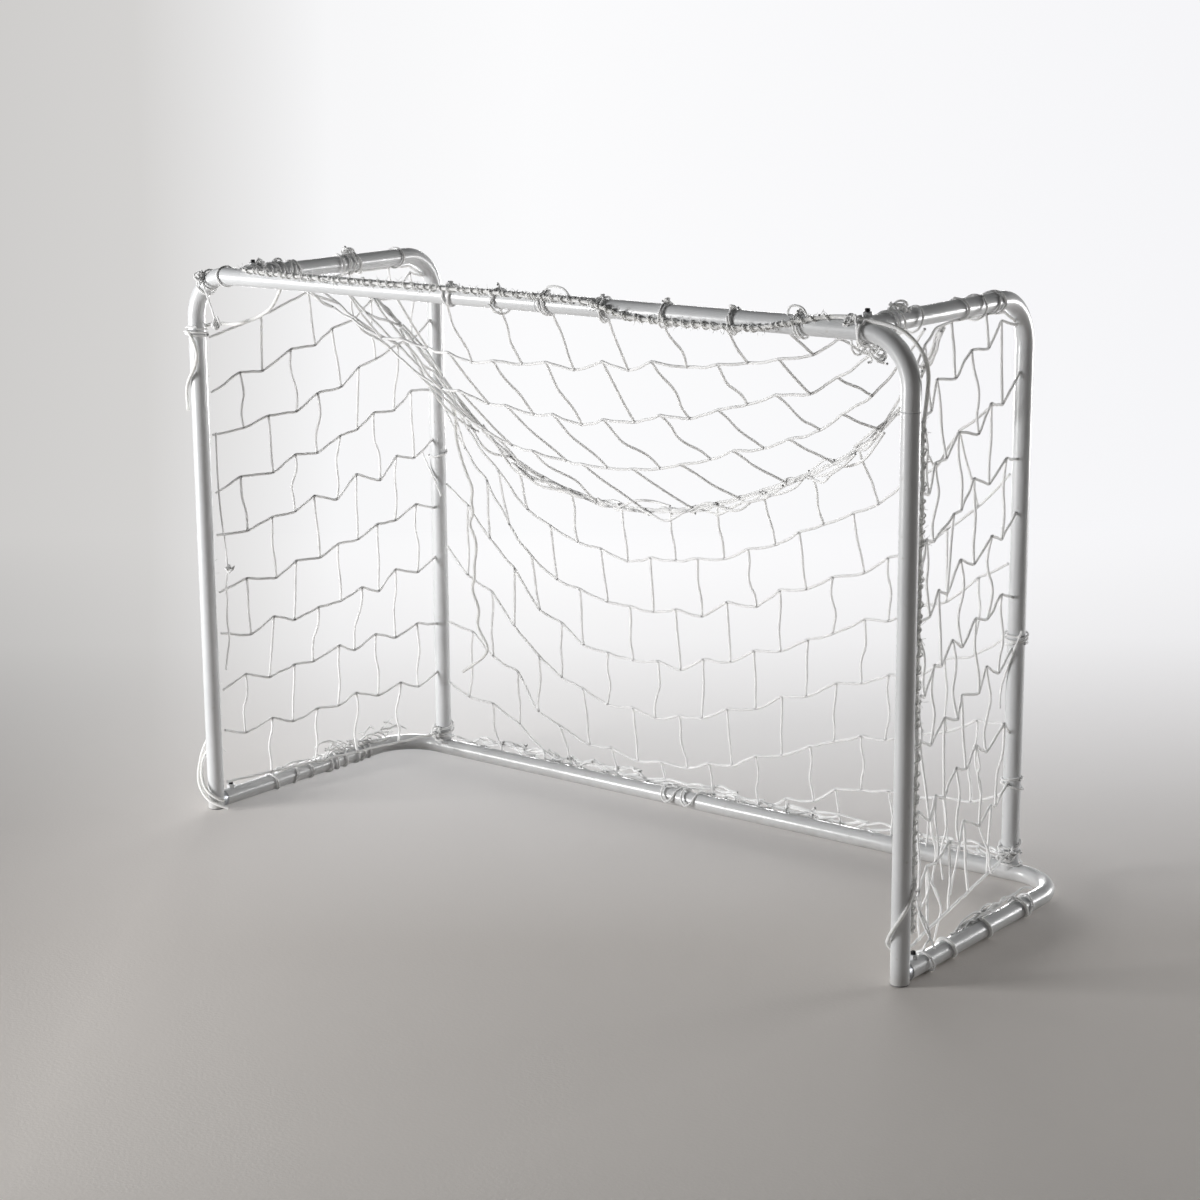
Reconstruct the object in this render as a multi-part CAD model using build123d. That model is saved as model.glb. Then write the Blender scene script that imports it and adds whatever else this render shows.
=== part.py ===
from build123d import *
from math import atan2, cos, pi, radians, sin, tan
import os

# A small free-standing soccer goal: knock-down frame of bent steel tube with a laced hexagonal net.
# Millimetres, +Z up, the mouth of the goal faces -Y, and the origin is on the floor in the middle.

# Frame, outside sizes
goal_width = 1500.0  # over the outside of the posts
goal_height = 1000.0  # floor to the top of the crossbar
goal_depth = 550.0  # front of the posts to the back of the rear bar
arm_inset = 103.0  # each side arm stands this far inboard of its post
tube_d = 30.0
tube_wall = 1.0
front_bend_r = 80.0  # centre-line radii of the bends
arm_bend_r = 80.0
base_bend_r = 85.0

# Joints in the tubes
slip_fit = 0.2  # radial clearance of a spigot or swaged end in a bore
swage_len = 45.0
swage_taper = 2.0
swage_lead = 1.5  # chamfer on the nose of a swaged end
corner_joint_drop = 125.0  # top of the crossbar to the seam in the post
crossbar_joint_x = 50.0
rear_joint_x = -60.0
spigot_len = 62.0  # measured from the axis of the tube that it is welded to
spigot_wall = 1.2
sleeve_start = 18.0  # an arm or rail starts this far behind the axis of its post or crossbar
foot_spigot_len = 50.0
cope_gap = 0.3

# Clamp screws in welded nuts
nut_flats = 13.0
nut_height = 6.5
screw_d = 8.0
screw_fit = 0.1  # radial clearance of the screw in the nut and the tube wall
screw_stand = 5.0  # screw above the nut
screw_socket = 4.0  # across flats
screw_socket_deep = 4.5
screw_chamfer = 0.8
arm_screw_back = 43.0  # behind the axis of the crossbar
rail_screw_back = 38.0  # behind the axis of the post

# Foot caps
cap_flange = 2.0
cap_plug_len = 18.0
cap_plug_wall = 2.0

# Net and ropes
net_cord = 4.0
net_gap = 0.3  # net and ropes stand this far off the tubes
sheet_spans = 12  # a net's sheet is drawn through this many spans across and half as many down
net_halves = 22  # half cells across the roof and the back
net_rise = 0.04  # knots that hang from a bar above stand this share of a course higher, the others lower
rope_d = 7.0
head_rope_lean = 35.0  # degrees from the top of the crossbar towards the front
post_rope_low = 80.0  # above the floor
post_rope_top = 160.0  # below the top of the crossbar
roof_courses = 5
fold_back = 297.0  # ends of the roof's rear edge, behind the axis of the crossbar
fold_drop = 30.0  # ends of the roof's rear edge, below the axis of the crossbar
fold_lean = 0.488  # the edge hangs in a plane that leans back this much per unit of drop
fold_low = (-120.0, 404.0)  # lowest point: place along X, drop
fold_left = [(85.0, 130.0), (211.0, 328.0)]  # inset from the left end, drop
fold_right = [(366.0, 300.0), (146.0, 172.0)]  # inset from the right end, drop
back_courses = 7
back_course_drop = 98.0  # height of a course where the back net hangs slack
back_settle = 300.0  # below the roof's rear edge, the back net reaches the rear bar's plane in this drop
side_halves = 10
side_courses = 9
side_rise = 0.06
side_hitch_z = 870.0  # the side net is hitched to the post at this height
side_rear_z = 1080.0  # its courses climb to the rear as if they ended this high; the arm cuts them short
side_low_z = 45.0
side_slack_end = 0.5  # share of the depth at which its upper edge reaches the arm

# Loose end of the net's edge rope, which hangs from the roof's rear edge
drawstring_d = 6.0
drawstring_route = [
    (-485.0, 139.2, 725.0),
    (-485.0, 145.0, 702.7),
    (-481.0, 142.0, 662.0),
    (-472.0, 143.0, 620.0),
    (-459.0, 147.0, 580.0),
    (-453.0, 150.0, 538.0),
    (-464.0, 152.0, 503.0),
    (-450.0, 154.0, 465.0),
    (-455.0, 157.0, 418.0),
    (-467.0, 159.0, 372.0),
    (-450.0, 160.0, 338.0),
    (-455.0, 161.0, 302.0),
    (-424.0, 160.0, 268.0),
    (-440.0, 157.0, 240.0),
    (-492.0, 152.0, 206.0),
]

# Worked out from the sizes above
tube_r = tube_d / 2
bore_r = tube_r - tube_wall
spigot_r = bore_r - slip_fit
post_x = goal_width / 2 - tube_r
arm_x = post_x - arm_inset
front_y = tube_r - goal_depth / 2
rear_y = goal_depth / 2 - tube_r
bar_z = goal_height - tube_r
base_z = tube_r
corner_joint_z = goal_height - corner_joint_drop
rope_r = rope_d / 2
rope_off = tube_r + net_gap + rope_r
net_half = net_cord / 2
net_edge_x = arm_x - tube_r - net_gap - net_cord
roof_steepest = atan2(fold_low[1] + fold_drop, fold_back + fold_lean * fold_low[1])
net_front_y = front_y + tube_r + net_gap + net_half * sin(roof_steepest)
fold_z = bar_z - fold_drop
side_back_y = rear_y - tube_r - net_gap
arm_under_z = bar_z - tube_r - net_gap

SIDES = {"left": -1, "right": 1}


def place(shape, origin, direction):
    """Put a shape made along +Z at a point, with +Z turned to a direction."""
    return Plane(origin=origin, z_dir=direction) * shape


def follow(path, section):
    """Sweep a section, drawn around the path's axis, along the path."""
    return sweep(Plane(origin=path @ 0, z_dir=path % 0) * section, path=path)


def tube(path):
    """Frame tube along a path."""
    return follow(path, Circle(tube_r) - Circle(bore_r))


def envelope(path, clearance):
    """The space that a frame tube fills, with clearance all round."""
    return follow(path, Circle(tube_r + clearance))


def swaged_end():
    """Reduced end of a tube, made along +Z from the seam, that fits inside the next tube."""
    inner_r = spigot_r - tube_wall
    profile = Polyline(
        (tube_r, 0),
        (spigot_r, swage_taper),
        (spigot_r, swage_len - swage_lead),
        (spigot_r - tube_wall / 2, swage_len),
        (inner_r, swage_len),
        (inner_r, swage_taper),
        (bore_r, 0),
        close=True,
    )
    return revolve(Plane.XZ * make_face(profile), Axis.Z)


def biggest(shape):
    """The main solid of a shape that a cut has left in pieces."""
    return shape.solids().sort_by(SortBy.VOLUME)[-1]


# Crossbar in two halves, each with its corner bend and a short leg that plugs into the post

def crossbar_path(side, joint_x):
    return FilletPolyline(
        (joint_x, front_y, bar_z),
        (side * post_x, front_y, bar_z),
        (side * post_x, front_y, corner_joint_z),
        radius=front_bend_r,
    )


def crossbar(side):
    plugs_in = side < 0
    seam_x = crossbar_joint_x if plugs_in else crossbar_joint_x + swage_taper
    leg_end = (side * post_x, front_y, corner_joint_z)
    bar = tube(crossbar_path(side, seam_x)) + place(swaged_end(), leg_end, (0, 0, -1))
    if plugs_in:
        bar += place(swaged_end(), (seam_x, front_y, bar_z), (1, 0, 0))
    return bar


# Posts, with a plastic cap in each foot

def post(side):
    height = corner_joint_z - swage_taper - cap_flange
    section = Plane.XY.offset(cap_flange) * (Circle(tube_r) - Circle(bore_r))
    return Pos(side * post_x, front_y, 0) * extrude(section, height)


def foot_cap(side):
    flange = extrude(Circle(tube_r), cap_flange)
    flange = chamfer(flange.edges().group_by(Axis.Z)[0], cap_flange / 2)
    plug = extrude(Plane.XY.offset(cap_flange) * Circle(spigot_r), cap_plug_len)
    hollow = extrude(Plane.XY.offset(cap_flange) * Circle(spigot_r - cap_plug_wall), cap_plug_len)
    return Pos(side * post_x, front_y, 0) * (flange + plug - hollow)


# Side tubes: an arm back from the crossbar, a bend, and the rear post down to the rear bar

def side_path(side):
    return FilletPolyline(
        (side * arm_x, front_y + sleeve_start, bar_z),
        (side * arm_x, rear_y, bar_z),
        (side * arm_x, rear_y, base_z),
        radius=arm_bend_r,
    )


def side_tube(side):
    bent = tube(side_path(side)) - envelope(base_path(side, rear_joint_x), cope_gap)
    return biggest(bent) - screw_hole(arm_screw_at(side))


# Base tubes: a rail back from the post along the floor, a bend, and half of the rear bar

def base_path(side, joint_x):
    return FilletPolyline(
        (side * post_x, front_y + sleeve_start, base_z),
        (side * post_x, rear_y, base_z),
        (joint_x, rear_y, base_z),
        radius=base_bend_r,
    )


def base_tube(side):
    plugs_in = side < 0
    seam_x = rear_joint_x if plugs_in else rear_joint_x + swage_taper
    rail = tube(base_path(side, seam_x)) - screw_hole(rail_screw_at(side))
    if plugs_in:
        rail += place(swaged_end(), (seam_x, rear_y, base_z), (1, 0, 0))
    return rail


# Spigots, coped to the tube that they are welded to

def spigot(x, z, around):
    """Sleeve that stands back from a point and is coped round the tube that runs through it."""
    section = Plane(origin=(x, front_y, z), z_dir=(0, 1, 0)) * (Circle(spigot_r) - Circle(spigot_r - spigot_wall))
    carrier = Plane(origin=(x, front_y, z), z_dir=around) * Cylinder(tube_r, 4 * tube_r)
    return biggest(extrude(section, spigot_len) - carrier)


def arm_spigot(side):
    return spigot(side * arm_x, bar_z, (1, 0, 0))


def rail_spigot(side):
    return spigot(side * post_x, base_z, (0, 0, 1))


def foot_spigot(side):
    sleeve = extrude(Circle(spigot_r) - Circle(spigot_r - spigot_wall), tube_r + foot_spigot_len)
    sleeve = Pos(side * arm_x, rear_y, base_z) * sleeve
    return biggest(sleeve - envelope(base_path(side, rear_joint_x), 0))


# Clamp screws, each in a nut welded to the top of an arm or rail

def arm_screw_at(side):
    return (side * arm_x, front_y + arm_screw_back, bar_z)


def rail_screw_at(side):
    return (side * post_x, front_y + rail_screw_back, base_z)


def screw_hole(axis_point):
    return Pos(*axis_point) * extrude(Circle(screw_d / 2 + screw_fit), 2 * tube_r)


def welded_nut(axis_point):
    block = extrude(RegularPolygon(nut_flats / 2, 6, major_radius=False), tube_r + nut_height)
    block = chamfer(block.edges().group_by(Axis.Z)[-1], nut_height / 10)
    block -= Rot(90, 0, 0) * Cylinder(tube_r, 2 * tube_d)
    return Pos(*axis_point) * biggest(block) - screw_hole(axis_point)


def clamp_screw(axis_point):
    length = tube_r + nut_height + screw_stand - spigot_r
    stud = extrude(Circle(screw_d / 2), length)
    stud = chamfer(stud.edges().group_by(Axis.Z)[-1], screw_chamfer)
    socket = RegularPolygon(screw_socket / 2, 6, major_radius=False)
    stud -= extrude(Plane.XY.offset(length - screw_socket_deep) * socket, screw_socket_deep)
    return Pos(*axis_point) * Pos(0, 0, spigot_r) * stud


# Net panels: thin sheets pierced by a mesh that hangs in courses, like brickwork, with a rim all round

def drawn_in(ring, amount):
    """Corners of a polygon that is smaller by an amount all round."""
    centre = sum(ring, Vector()) / len(ring)
    normals = []
    for corner, after in zip(ring, ring[1:] + ring[:1]):
        normal = (after - corner).cross(Vector(0, 0, 1)).normalized()
        normals.append(normal if normal.dot(centre - corner) > 0 else -normal)
    return [
        corner + (before + after) * (amount / (1 + before.dot(after)))
        for corner, before, after in zip(ring, normals[-1:] + normals, normals)
    ]


def mesh_cells(halves, courses, rise, spot):
    """The openings of a mesh whose knots lie, in the plane of the drawing, where spot(across, down) says."""

    def knot(column, course):
        lift = 0 if course in (0, courses) else rise * (1 if (column + course) % 2 else -1)
        return Vector(*spot(column / halves, (course + lift) / courses))

    cells = []
    for course in range(courses):
        for left in range(-(course % 2), halves, 2):
            columns = sorted({max(left, 0), left + 1, min(left + 2, halves)})
            upper = [knot(column, course) for column in columns]
            lower = [knot(column, course + 1) for column in reversed(columns)]
            cells.append(make_face(Polyline(*drawn_in(upper + lower, net_half), close=True)))
    return Sketch() + cells


def steps(count):
    """Evenly spaced shares from 0 to 1."""
    return [i / count for i in range(count + 1)]


def net_sheet(at, cells, direction):
    """Curved sheet through the points that at(across, down) gives, pierced by cells along a direction."""
    grid = [[at(across, down) for across in steps(sheet_spans)] for down in steps(sheet_spans // 2)]
    surface = Face.make_surface_from_array_of_points(grid)
    sheet = thicken(surface, net_half, both=True)
    return biggest(sheet - extrude(cells, goal_width, dir=direction, both=True))


def mix(start, end, share):
    return start + (end - start) * share


def edge_place(across, inset=0.0):
    """Place along X of a share of the net's width, from left to right."""
    return (2 * across - 1) * (net_edge_x - inset)


def fold_drop_at(x):
    """Drop of the roof's rear edge at a place along X, on a smooth line through its stations."""
    left = [(inset - net_edge_x, drop) for inset, drop in fold_left]
    right = [(net_edge_x - inset, drop) for inset, drop in fold_right]
    stations = [(-net_edge_x, 0), *left, fold_low, *right, (net_edge_x, 0)]
    last = len(stations) - 1
    slopes = []
    for i in range(len(stations)):
        (x0, drop0), (x1, drop1) = stations[max(i - 1, 0)], stations[min(i + 1, last)]
        slopes.append((drop1 - drop0) / (x1 - x0))
    i = max(j for j in range(last) if stations[j][0] <= x or j == 0)
    (x0, drop0), (x1, drop1) = stations[i], stations[i + 1]
    run = x1 - x0
    t = (x - x0) / run
    return (
        drop0 * (2 * t**3 - 3 * t**2 + 1)
        + slopes[i] * run * (t**3 - 2 * t**2 + t)
        + drop1 * (3 * t**2 - 2 * t**3)
        + slopes[i + 1] * run * (t**3 - t**2)
    )


def fold_at(x, shift=0.0):
    """Point of the roof's rear edge, or of a parallel edge that is shifted back and down."""
    drop = fold_drop_at(x)
    return Vector(x, front_y + fold_back + fold_lean * drop + shift, fold_z - drop - shift)


def roof_at(across, down):
    x = edge_place(across)
    return mix(Vector(x, net_front_y, bar_z), fold_at(x), down)


def roof_net():
    def spot(across, down):
        x = edge_place(across, net_half)
        return (x, mix(net_front_y + net_half, fold_at(x).Y - net_half, down))

    return net_sheet(roof_at, mesh_cells(net_halves, roof_courses, net_rise, spot), (0, 0, 1))


def back_net():
    top_gap = net_cord + net_gap
    foot_z = base_z + tube_r + net_gap

    def at(across, down):
        top = fold_at(edge_place(across), top_gap)
        z = mix(top.Z, foot_z, down)
        settled = min(1, (top.Z - z) / back_settle)
        return Vector(top.X, mix(top.Y, rear_y, 1 - (1 - settled) ** 2), z)

    def spot(across, down):
        x = edge_place(across, net_half)
        high = fold_at(x, top_gap).Z - net_half
        low = foot_z + net_half
        drop = down * back_courses * max(back_course_drop, (high - low) / back_courses)
        return (x, high - drop)

    outline = make_face(Polyline(
        *[spot(across, 0) for across in steps(net_halves)],
        (net_edge_x - net_half, foot_z + net_half),
        (net_half - net_edge_x, foot_z + net_half),
        close=True,
    ))
    cells = Plane.XZ * (mesh_cells(net_halves, back_courses, net_rise, spot) & outline)
    return net_sheet(at, cells, (0, 1, 0))


def from_post(side, distance):
    """Point on the floor, a distance from a post's axis towards the rear post on the same side."""
    post_axis = Vector(side * post_x, front_y)
    return post_axis + (Vector(side * arm_x, rear_y) - post_axis).normalized() * distance


def bend_corner(inset):
    """Outline, seen from the side, of the corner that the arm's bend cuts off the side net."""
    corner = Pos(arm_bend_r / 2, arm_bend_r / 2) * Rectangle(arm_bend_r, arm_bend_r)
    inside = Circle(arm_bend_r - tube_r - net_gap - inset)
    return Pos(rear_y - arm_bend_r, bar_z - arm_bend_r) * (corner - inside)


def side_net(side):
    front = from_post(side, rope_off + rope_r + net_gap + net_half)
    foot = (Vector(front.X, front.Y, side_low_z), Vector(side * arm_x, side_back_y, side_low_z))

    def top(across):
        arm = Vector(side * arm_x, mix(front.Y, side_back_y, across), arm_under_z)
        hitch = Vector(front.X, arm.Y, side_hitch_z)
        return mix(arm, hitch, max(0, 1 - across / side_slack_end) ** 2)

    def at(across, down):
        return mix(top(across), mix(*foot, across), down)

    def spot(across, down):
        y = mix(front.Y + net_half, side_back_y - net_half, across)
        return (y, mix(mix(side_hitch_z, side_rear_z, across), side_low_z + net_half, down))

    rim = [at(across, 0) for across in steps(side_halves)]
    outline = make_face(Polyline(
        *[(point.Y, point.Z - net_half) for point in rim],
        (side_back_y - net_half, side_low_z + net_half),
        (front.Y + net_half, side_low_z + net_half),
        close=True,
    ))
    cells = mesh_cells(side_halves, side_courses, side_rise, spot) & (outline - bend_corner(net_half))
    return net_sheet(at, Plane.YZ * (cells + bend_corner(0)), (1, 0, 0))


# Edge ropes and the hanging end

def head_rope():
    lean = radians(head_rope_lean)
    spot = Pos(0, front_y - rope_off * sin(lean), bar_z + rope_off * cos(lean))
    return spot * Rot(0, 90, 0) * Cylinder(rope_r, 2 * net_edge_x)


def post_rope(side):
    height = goal_height - post_rope_top - post_rope_low
    return Pos(from_post(side, rope_off)) * Pos(0, 0, post_rope_low) * extrude(Circle(rope_r), height)


def bend_radii(route):
    """A radius for each corner of a cord's route, as large as its two runs allow."""
    points = [Vector(*point) for point in route]
    radii = []
    for before, corner, after in zip(points, points[1:], points[2:]):
        turn = (corner - before).get_angle(after - corner)
        run = min((corner - before).length, (after - corner).length)
        radii.append(0.45 * run / tan(radians(turn / 2)))
    return radii


def drawstring():
    radii = bend_radii(drawstring_route)
    print("drawstring radii", [round(radius, 1) for radius in radii])
    path = FilletPolyline(*drawstring_route, radius=radii)
    cord = follow(path, Circle(drawstring_d / 2))
    plain_volume = pi * (drawstring_d / 2) ** 2 * path.length
    print("drawstring length", round(path.length, 1), "volume share", round(cord.volume / plain_volume, 4))
    return cord


def write(name, *solids):
    shape = solids[0] if len(solids) == 1 else Compound(children=list(solids))
    export_step(shape, f"parts/{name}.step")


os.makedirs("parts", exist_ok=True)
for name, side in SIDES.items():
    write(f"crossbar_{name}", crossbar(side))
    write(f"post_{name}", post(side))
    write(f"foot_cap_{name}", foot_cap(side))
    write(f"side_tube_{name}", side_tube(side))
    write(f"base_tube_{name}", base_tube(side))
    write(f"arm_spigot_{name}", arm_spigot(side))
    write(f"rail_spigot_{name}", rail_spigot(side))
    write(f"foot_spigot_{name}", foot_spigot(side))
    write(f"side_net_{name}", side_net(side))
    write(f"post_rope_{name}", post_rope(side))
write("roof_net", roof_net())
write("back_net", back_net())
write("head_rope", head_rope())
write("drawstring", drawstring())
screw_points = [at(side) for at in (arm_screw_at, rail_screw_at) for side in SIDES.values()]
write("welded_nuts", *[welded_nut(point) for point in screw_points])
write("clamp_screws", *[clamp_screw(point) for point in screw_points])
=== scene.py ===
import math
import random

import bmesh
import bpy
import numpy as np
from mathutils import Matrix, Vector


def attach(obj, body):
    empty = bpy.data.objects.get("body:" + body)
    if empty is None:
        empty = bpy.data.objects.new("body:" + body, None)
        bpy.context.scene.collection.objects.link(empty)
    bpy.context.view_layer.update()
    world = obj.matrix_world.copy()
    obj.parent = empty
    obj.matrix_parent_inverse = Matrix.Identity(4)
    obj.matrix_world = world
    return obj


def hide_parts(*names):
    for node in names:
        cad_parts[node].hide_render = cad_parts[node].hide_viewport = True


# A small soccer goal: bent white steel tube, clamped on spigots, with a knotted cord net laced to it.
# Metres, +Z up, the mouth faces -Y and the origin is on the floor in the middle of the goal.
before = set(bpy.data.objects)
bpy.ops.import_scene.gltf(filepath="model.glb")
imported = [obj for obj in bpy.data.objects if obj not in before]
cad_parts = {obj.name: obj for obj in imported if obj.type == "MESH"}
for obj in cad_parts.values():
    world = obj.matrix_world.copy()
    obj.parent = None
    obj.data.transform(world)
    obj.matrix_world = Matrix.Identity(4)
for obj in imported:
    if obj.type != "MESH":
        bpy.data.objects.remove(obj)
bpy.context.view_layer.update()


# Camera. It stands half as high again as the goal, off its right-hand post, and looks down
# across the mouth with a long lens.
camera_place = Vector((2.667, -3.469, 1.467))
camera_turn = math.radians(-37.93)
camera_tip = math.radians(13.13)
camera_roll = math.radians(-0.41)

forward = Vector((
    math.sin(camera_turn) * math.cos(camera_tip),
    math.cos(camera_turn) * math.cos(camera_tip),
    -math.sin(camera_tip),
))
level_right = Vector((math.cos(camera_turn), -math.sin(camera_turn), 0))
level_up = level_right.cross(forward)
camera_right = math.cos(camera_roll) * level_right + math.sin(camera_roll) * level_up
camera_up = math.cos(camera_roll) * level_up - math.sin(camera_roll) * level_right
camera_data = bpy.data.cameras.new("camera")
camera_data.sensor_width = 36
camera_data.lens = 78.48
camera = bpy.data.objects.new("camera", camera_data)
camera.matrix_world = (
    Matrix.Translation(camera_place)
    @ Matrix((camera_right, camera_up, -forward)).transposed().to_4x4()
)
bpy.context.scene.collection.objects.link(camera)
bpy.context.scene.camera = camera


# Loose end of the edge rope. Soft white polyester cord that hangs free from the back edge of
# the roof, kinked where it was once knotted, and cut off bare.
loose_end_diameter = 0.006
loose_end_route = [
    (-0.485, 0.1392, 0.725), (-0.485, 0.145, 0.7027), (-0.483, 0.142, 0.662), (-0.470, 0.143, 0.620),
    (-0.460, 0.147, 0.590), (-0.450, 0.150, 0.568), (-0.456, 0.150, 0.540), (-0.450, 0.151, 0.522),
    (-0.464, 0.152, 0.500), (-0.450, 0.154, 0.474), (-0.448, 0.155, 0.452), (-0.457, 0.157, 0.420),
    (-0.456, 0.158, 0.398), (-0.466, 0.159, 0.372), (-0.452, 0.160, 0.345), (-0.449, 0.160, 0.330),
    (-0.457, 0.161, 0.302), (-0.431, 0.160, 0.272), (-0.428, 0.159, 0.258), (-0.446, 0.157, 0.238),
    (-0.486, 0.153, 0.211),
]


def new_material(name, colour, roughness):
    """Node material, its node tree, its shader node, and the texture coordinates to hang patterns on."""
    material = bpy.data.materials.new(name)
    material.use_nodes = True
    tree = material.node_tree
    shader = tree.nodes["Principled BSDF"]
    shader.inputs["Base Color"].default_value = (*colour, 1)
    shader.inputs["Roughness"].default_value = roughness
    return material, tree, shader, tree.nodes.new("ShaderNodeTexCoord")


def noise(tree, coordinates, scale, detail=3.0):
    """Cloudy pattern of the given number of blotches to the metre, or to the unit of a UV map."""
    node = tree.nodes.new("ShaderNodeTexNoise")
    node.inputs["Scale"].default_value = scale
    node.inputs["Detail"].default_value = detail
    tree.links.new(coordinates, node.inputs["Vector"])
    return node.outputs["Fac"]


def ramp(tree, value, *stops):
    """Colours or greys that a pattern's value is turned into: (position, grey or colour)."""
    node = tree.nodes.new("ShaderNodeValToRGB")
    elements = node.color_ramp.elements
    while len(elements) < len(stops):
        elements.new(0.5)
    for element, (position, colour) in zip(elements, stops):
        element.position = position
        element.color = (*colour, 1) if isinstance(colour, tuple) else (colour, colour, colour, 1)
    tree.links.new(value, node.inputs["Fac"])
    return node.outputs["Color"]


def bump(tree, shader, height, depth):
    """Relief on the surface, depth metres high, on top of any relief that is there."""
    node = tree.nodes.new("ShaderNodeBump")
    node.inputs["Distance"].default_value = depth
    tree.links.new(height, node.inputs["Height"])
    if shader.inputs["Normal"].is_linked:
        tree.links.new(shader.inputs["Normal"].links[0].from_socket, node.inputs["Normal"])
    tree.links.new(node.outputs["Normal"], shader.inputs["Normal"])


def math_node(tree, operation, *values):
    """Result of a sum on numbers or on other nodes' values."""
    node = tree.nodes.new("ShaderNodeMath")
    node.operation = operation
    for socket, value in zip(node.inputs, values):
        if isinstance(value, (int, float)):
            socket.default_value = value
        else:
            tree.links.new(value, socket)
    return node.outputs[0]


def braided_cord(name, colour, plaits, relief):
    """White braided cord. Its UV map runs along the cord in metres and once round it."""
    material, tree, shader, where = new_material(name, colour, 0.85)
    shader.inputs["Sheen Weight"].default_value = 0.6
    shader.inputs["Sheen Roughness"].default_value = 0.7
    shader.inputs["Specular IOR Level"].default_value = 0.15
    shader.inputs["Subsurface Weight"].default_value = 1
    shader.inputs["Subsurface Radius"].default_value = (0.004, 0.004, 0.004)
    shader.inputs["Subsurface Scale"].default_value = 1
    split = tree.nodes.new("ShaderNodeSeparateXYZ")
    tree.links.new(where.outputs["UV"], split.inputs[0])
    lays = []
    for lean in (1, -1):
        along = math_node(tree, "MULTIPLY", split.outputs["X"], plaits * 2 * math.pi)
        around = math_node(tree, "MULTIPLY", split.outputs["Y"], lean * 3 * 2 * math.pi)
        lays.append(math_node(tree, "SINE", math_node(tree, "ADD", along, around)))
    plait = math_node(tree, "MAXIMUM", *lays)
    fuzz = noise(tree, where.outputs["Object"], 1200, 4)
    bump(tree, shader, plait, relief)
    bump(tree, shader, fuzz, relief / 2)
    soil = noise(tree, where.outputs["Object"], 9, 5)
    light = tuple(min(0.99, c * 1.04) for c in colour)
    dark = tuple(c * 0.9 for c in colour)
    clean = ramp(tree, soil, (0.3, dark), (0.55, colour), (0.75, light))
    # Painted shade: the grooves between the braid's plaits are coloured darker, as if shaded.
    shade = ramp(tree, plait, (0.0, 0.93), (0.7, 1.0))
    mix = tree.nodes.new("ShaderNodeMix")
    mix.data_type = "RGBA"
    mix.blend_type = "MULTIPLY"
    mix.inputs["Factor"].default_value = 1
    tree.links.new(clean, mix.inputs["A"])
    tree.links.new(shade, mix.inputs["B"])
    tree.links.new(mix.outputs["Result"], shader.inputs["Base Color"])
    return material


curve_steps = 4  # straight pieces from one point of a line of cord to the next


def cord_curve(name, lines, diameter):
    """Round cord along smooth lines, each a list of points."""
    data = bpy.data.curves.new(name, "CURVE")
    data.dimensions = "3D"
    data.bevel_depth = diameter / 2
    data.bevel_resolution = 1
    data.resolution_u = curve_steps
    data.use_fill_caps = True
    for line in lines:
        spline = data.splines.new("NURBS")
        spline.points.add(len(line) - 1)
        for point, place in zip(spline.points, line):
            point.co = (*place, 1)
        spline.order_u = 3
        spline.use_endpoint_u = True
    piece = bpy.data.objects.new(name, data)
    bpy.context.scene.collection.objects.link(piece)
    return piece


rope_fibre = braided_cord("rope_fibre", (0.92, 0.92, 0.9), 160, 0.0001)
loose_end = cord_curve("loose_end_cord", [loose_end_route], loose_end_diameter)
loose_end.data.resolution_u = 12
loose_end.data.bevel_resolution = 3
loose_end.data.materials.append(rope_fibre)
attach(loose_end, "root")
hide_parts("drawstring")


# Frame tubes. Mild steel tube, bent cold and powder-coated glossy white: the crossbar in two
# halves with a corner bend each, two posts, two side tubes and two base tubes.
tube_radius = 0.015
bar_height = 0.985
base_height = 0.015
front_y = -0.26
rear_y = 0.26
post_x = 0.735
arm_x = 0.632


def white_enamel():
    """Glossy white powder coat with faint orange peel, handling marks, and grime near the floor."""
    material, tree, shader, where = new_material("white_enamel", (0.76, 0.77, 0.78), 0.4)
    shader.inputs["Coat Weight"].default_value = 0.5
    shader.inputs["Coat Roughness"].default_value = 0.16
    place = where.outputs["Object"]
    peel = noise(tree, place, 420, 2)
    bump(tree, shader, peel, 0.00012)
    cloud = noise(tree, place, 6, 4)
    coat = ramp(tree, cloud, (0.3, (0.66, 0.67, 0.68)), (0.6, (0.73, 0.74, 0.75)))
    marks = noise(tree, place, 70, 8)
    rubbed = ramp(tree, marks, (0.66, 0.0), (0.74, 1.0))
    mix = tree.nodes.new("ShaderNodeMix")
    mix.data_type = "RGBA"
    tree.links.new(rubbed, mix.inputs["Factor"])
    tree.links.new(coat, mix.inputs["A"])
    mix.inputs["B"].default_value = (0.62, 0.62, 0.61, 1)
    height = tree.nodes.new("ShaderNodeSeparateXYZ")
    tree.links.new(place, height.inputs[0])
    low = ramp(tree, math_node(tree, "MULTIPLY", height.outputs["Z"], 10), (0.0, 1.0), (0.35, 0.0))
    grime = math_node(tree, "MULTIPLY", low, noise(tree, place, 45, 6))
    soil = tree.nodes.new("ShaderNodeMix")
    soil.data_type = "RGBA"
    tree.links.new(grime, soil.inputs["Factor"])
    tree.links.new(mix.outputs["Result"], soil.inputs["A"])
    soil.inputs["B"].default_value = (0.45, 0.44, 0.42, 1)
    tree.links.new(soil.outputs["Result"], shader.inputs["Base Color"])
    tree.links.new(ramp(tree, marks, (0.4, 0.34), (0.8, 0.6)), shader.inputs["Roughness"])
    return material


enamel = white_enamel()
for part in ("crossbar", "post", "side_tube", "base_tube"):
    for hand in ("left", "right"):
        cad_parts[f"{part}_{hand}"].data.materials[0] = enamel


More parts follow.
